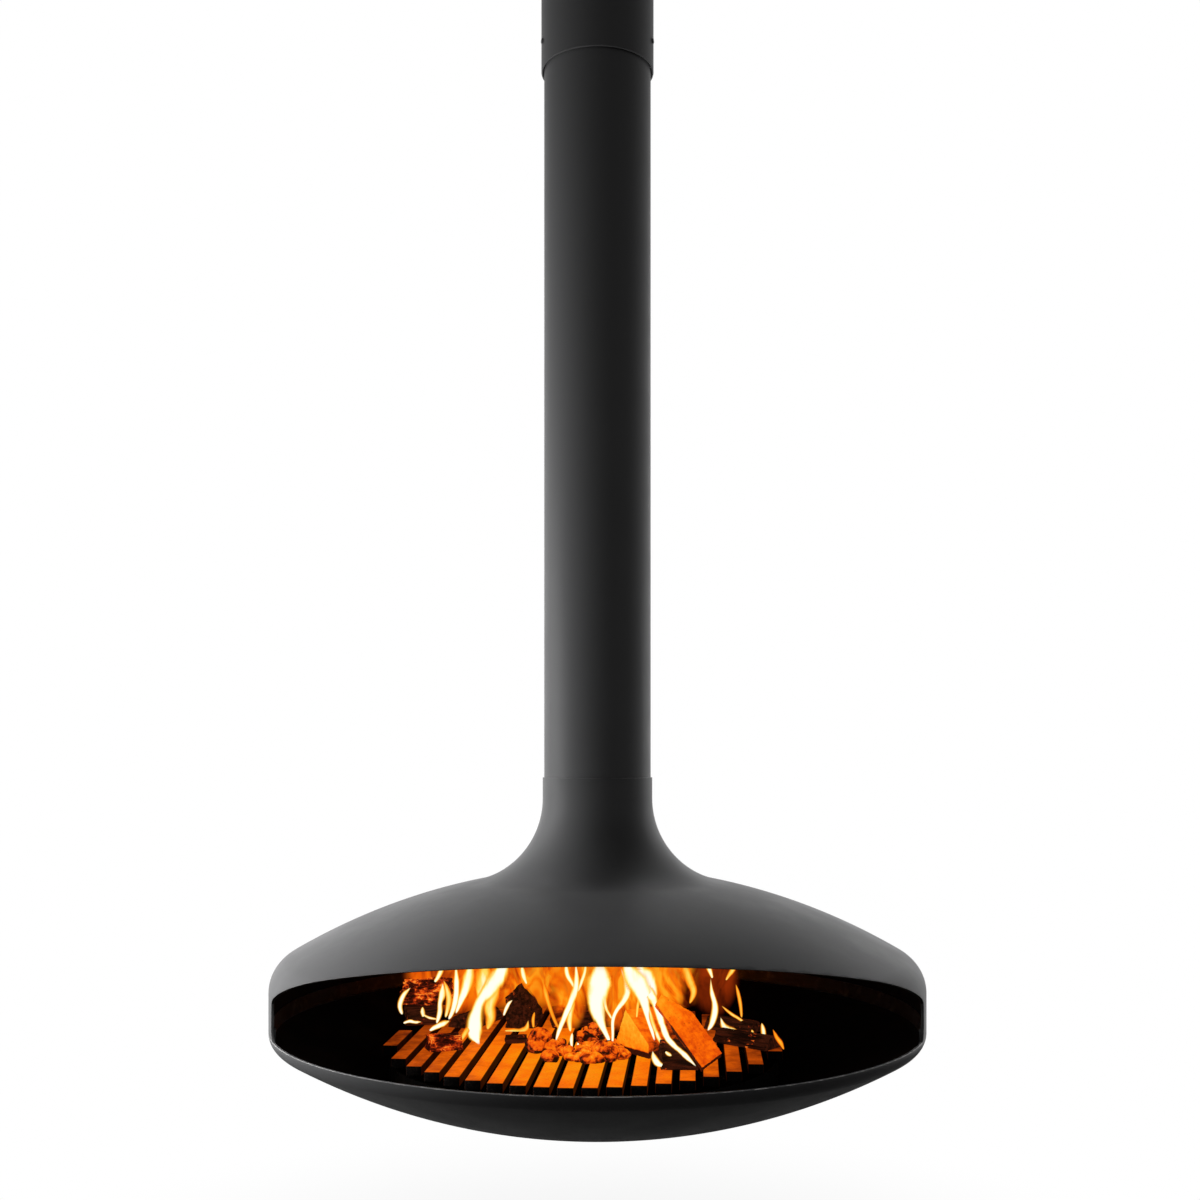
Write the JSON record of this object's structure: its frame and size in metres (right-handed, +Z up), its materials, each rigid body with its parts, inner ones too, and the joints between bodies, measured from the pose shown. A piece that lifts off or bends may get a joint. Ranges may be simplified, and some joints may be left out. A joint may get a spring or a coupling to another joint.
{
  "type": "hanging fireplace",
  "caption": "Round flattened steel fireplace with a wide front mouth, hung by its flue from a ceiling swivel, with a bar grate, a wood fire, an ash pan and a damper.",
  "frame": {"origin": "centre of the ceiling plate's top face, where it meets the ceiling", "axes": "+Z up along the flue and the swivel's axis, -Y out of the mouth, +X to the right seen from the front"},
  "size_m": [1.251, 1.251, 2.4516],
  "materials": {
    "black_paint": "matt heat-proof paint",
    "mill_steel": "sooty heat-proof paint",
    "zinc_steel": "zinc plated",
    "bearing_steel": "ground and greased",
    "bush_brass": "turned",
    "ceramic_fibre": "woven ceramic rope",
    "grate_iron": "scaled by heat, glowing from the fire",
    "charred_wood": "charred",
    "split_wood": "split face, catching fire",
    "glowing_ember": "glowing"
  },
  "bodies": {
    "ceiling_support": {"ceiling_plate": "mill_steel", "flue_spigot": "mill_steel", "flue_seal": "ceramic_fibre", "bearing_housing": "mill_steel", "housing_bolts": "zinc_steel", "lower_race": "bearing_steel", "ceiling_rose": "black_paint", "rose_screws": "black_paint"},
    "ball_cage": {"bearing_balls": "bearing_steel", "cage_ring": "bush_brass"},
    "hearth": {"upper_race": "bearing_steel", "suspension_ring": "mill_steel", "flue_tube": "black_paint", "flue_foot_ring": "mill_steel", "flange_gasket": "ceramic_fibre", "neck_ring": "mill_steel", "foot_bolts": "zinc_steel", "foot_nuts": "zinc_steel", "hood": "black_paint", "bowl": "black_paint", "seam_strip": "mill_steel", "grate_stand": "mill_steel", "damper_collar": "mill_steel", "damper_bushes": "bush_brass"},
    "sleeve": {"cover_sleeve": "black_paint", "sleeve_screws": "black_paint"},
    "damper": {"damper_axle": "zinc_steel", "damper_blade": "mill_steel", "blade_screws": "zinc_steel", "damper_lever": "mill_steel", "axle_collar": "zinc_steel", "grub_screws": "zinc_steel"},
    "grate": {"grate_bars": "grate_iron", "cross_bars": "grate_iron", "log_back": "charred_wood", "log_centre": "charred_wood", "log_left": "charred_wood", "log_top": "charred_wood", "log_side": "charred_wood", "log_wedge": "split_wood", "log_prop": "charred_wood", "split_board": "split_wood", "log_right": "charred_wood", "log_far": "charred_wood", "charred_block": "charred_wood", "charred_stub": "charred_wood", "embers": "glowing_ember"},
    "ash_tray": {"ash_pan": "mill_steel", "pan_grips": "mill_steel"}
  },
  "joints": [
    {"name": "hearth_swivel", "type": "hinge", "parent": "ceiling_support", "child": "hearth", "pos_m": [0, 0, -0.05], "axis": [0, 0, 1], "continuous": true},
    {"name": "ball_cage_roll", "type": "hinge", "parent": "ceiling_support", "child": "ball_cage", "pos_m": [0, 0, -0.05], "axis": [0, 0, 1], "continuous": true},
    {"name": "sleeve_slide", "type": "slide", "parent": "hearth", "child": "sleeve", "axis": [0, 0, -1], "range_m": [0, 0.25]},
    {"name": "damper_turn", "type": "hinge", "parent": "hearth", "child": "damper", "pos_m": [0, 0, -1.79], "axis": [-1, 0, 0], "range_deg": [0, 90]},
    {"name": "grate_lift", "type": "slide", "parent": "hearth", "child": "grate", "axis": [0, 0, 1], "range_m": [0, 0.1]},
    {"name": "ash_pan_lift", "type": "slide", "parent": "hearth", "child": "ash_tray", "axis": [0, 0, 1], "range_m": [0, 0.05]}
  ],
  "couplings": [
    {"joint": "ball_cage_roll", "follows": "hearth_swivel", "ratio": 0.5},
    {"joint": "ash_pan_lift", "follows": "grate_lift", "ratio": 0.5}
  ]
}
